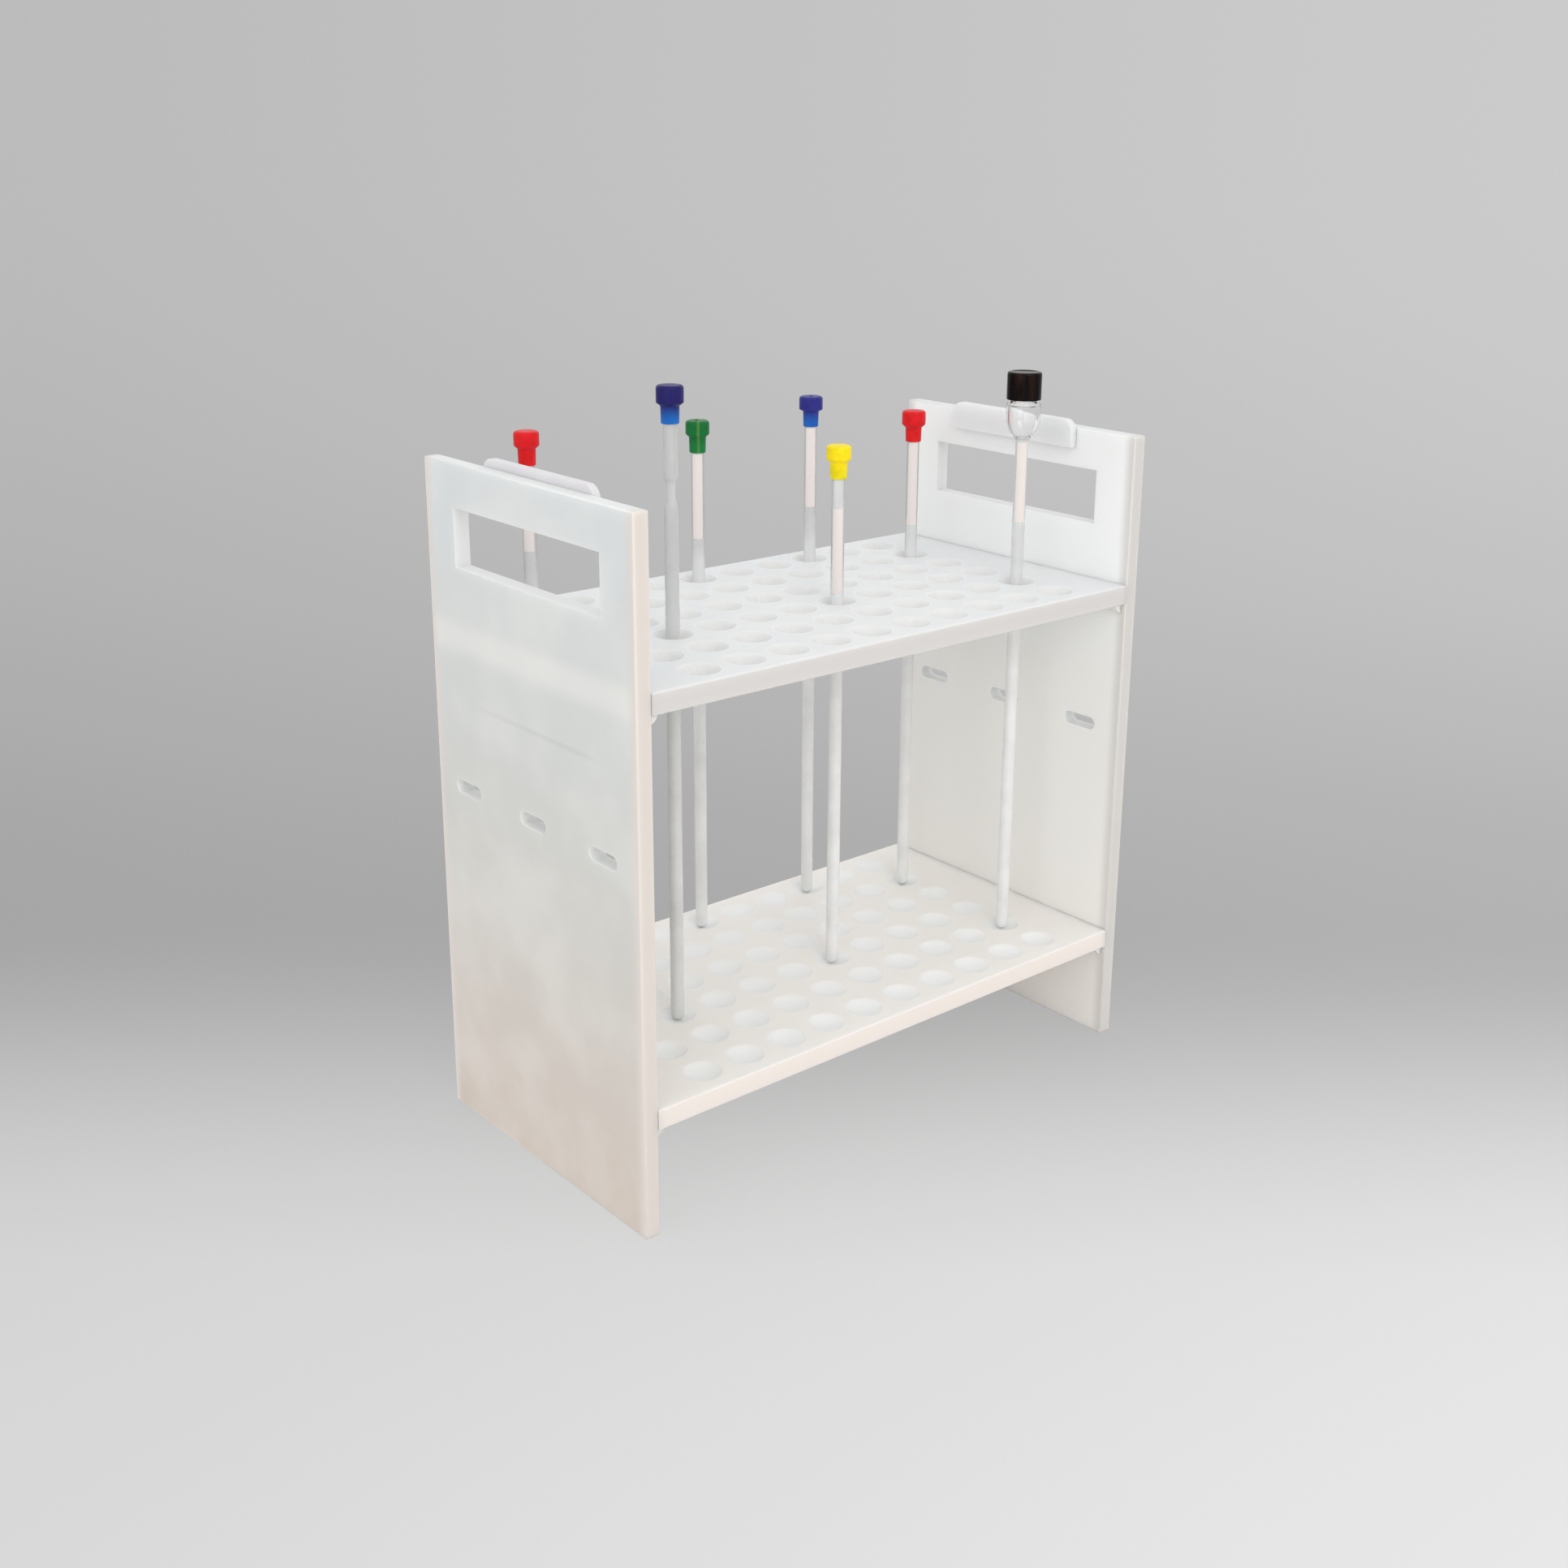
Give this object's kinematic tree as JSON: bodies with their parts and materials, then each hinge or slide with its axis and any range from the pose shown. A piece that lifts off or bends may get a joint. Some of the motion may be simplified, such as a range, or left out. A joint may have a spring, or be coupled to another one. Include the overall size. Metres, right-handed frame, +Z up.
{
  "type": "nmr tube rack",
  "caption": "White plastic two-deck bench rack holding capped thin glass sample tubes upright between two end panels with hand slots.",
  "frame": {"origin": "on the bench, under the middle of the rack", "axes": "+X towards the right end panel, +Y towards the back, +Z up along the tubes"},
  "size_m": [0.239, 0.125, 0.2793],
  "materials": {
    "rack_sheet": "satin",
    "weld_rod": "satin",
    "tube_glass": "gloss",
    "red_cap_plastic": "gloss",
    "blue_cap_plastic": "gloss",
    "green_cap_plastic": "gloss",
    "yellow_cap_plastic": "gloss",
    "black_cap_plastic": "gloss",
    "liner_sheet": "matte"
  },
  "bodies": {
    "rack": {"left_end_panel": "rack_sheet", "right_end_panel": "rack_sheet", "upper_shelf": "rack_sheet", "lower_shelf": "rack_sheet", "left_grip_strip": "rack_sheet", "right_grip_strip": "rack_sheet", "upper_left_weld": "weld_rod", "upper_right_weld": "weld_rod", "lower_left_weld": "weld_rod", "lower_right_weld": "weld_rod", "left_red_tube": "tube_glass", "tall_blue_tube": "tube_glass", "green_tube": "tube_glass", "yellow_tube": "tube_glass", "short_blue_tube": "tube_glass", "right_red_tube": "tube_glass", "screw_neck_tube": "tube_glass"},
    "left_red_cap_body": {"left_red_cap": "red_cap_plastic"},
    "tall_blue_cap_body": {"tall_blue_cap": "blue_cap_plastic"},
    "green_cap_body": {"green_cap": "green_cap_plastic"},
    "yellow_cap_body": {"yellow_cap": "yellow_cap_plastic"},
    "short_blue_cap_body": {"short_blue_cap": "blue_cap_plastic"},
    "right_red_cap_body": {"right_red_cap": "red_cap_plastic"},
    "liner_body": {"screw_cap_liner": "liner_sheet"},
    "screw_cap_body": {"screw_cap": "black_cap_plastic"}
  },
  "joints": [
    {"name": "left_red_cap_pull", "type": "slide", "parent": "rack", "child": "left_red_cap_body", "axis": [0, 0, 1], "range_m": [0, 0.012]},
    {"name": "tall_blue_cap_pull", "type": "slide", "parent": "rack", "child": "tall_blue_cap_body", "axis": [0, 0, 1], "range_m": [0, 0.012]},
    {"name": "green_cap_pull", "type": "slide", "parent": "rack", "child": "green_cap_body", "axis": [0, 0, 1], "range_m": [0, 0.012]},
    {"name": "yellow_cap_pull", "type": "slide", "parent": "rack", "child": "yellow_cap_body", "axis": [0, 0, 1], "range_m": [0, 0.012]},
    {"name": "short_blue_cap_pull", "type": "slide", "parent": "rack", "child": "short_blue_cap_body", "axis": [0, 0, 1], "range_m": [0, 0.012]},
    {"name": "right_red_cap_pull", "type": "slide", "parent": "rack", "child": "right_red_cap_body", "axis": [0, 0, 1], "range_m": [0, 0.012]},
    {"name": "screw_cap_lift", "type": "slide", "parent": "rack", "child": "liner_body", "axis": [0, 0, 1], "range_m": [0, 0.00476]},
    {"name": "screw_cap_turn", "type": "hinge", "parent": "liner_body", "child": "screw_cap_body", "pos_m": [0.0855, -0.03, 0.264], "axis": [0, 0, 1], "range_deg": [0, 540]}
  ],
  "couplings": [
    {"joint": "screw_cap_turn", "follows": "screw_cap_lift", "rad_per_m": 1979}
  ]
}
